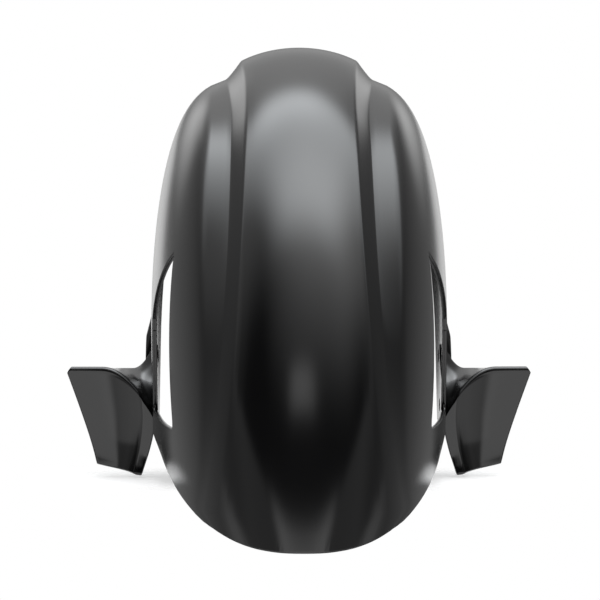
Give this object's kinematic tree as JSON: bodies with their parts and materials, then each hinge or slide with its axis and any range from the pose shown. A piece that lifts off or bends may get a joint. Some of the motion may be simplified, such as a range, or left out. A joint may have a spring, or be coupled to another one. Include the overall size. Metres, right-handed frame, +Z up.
{
  "type": "motorcycle front mudguard",
  "caption": "Front mudguard for a road motorcycle: arched black shell with a raised crown, windowed side walls and fork shields.",
  "frame": {"origin": "centre of the mudguard's footprint on the ground, below the crown's highest point, with the ground at z = 0", "axes": "+Z up, -Y towards the front lip, +X towards the rider's left"},
  "size_m": [0.246, 0.6182, 0.2254],
  "materials": {
    "black_abs": "semi-gloss moulded black"
  },
  "bodies": {
    "root": {"mudguard": "black_abs"}
  },
  "joints": []
}
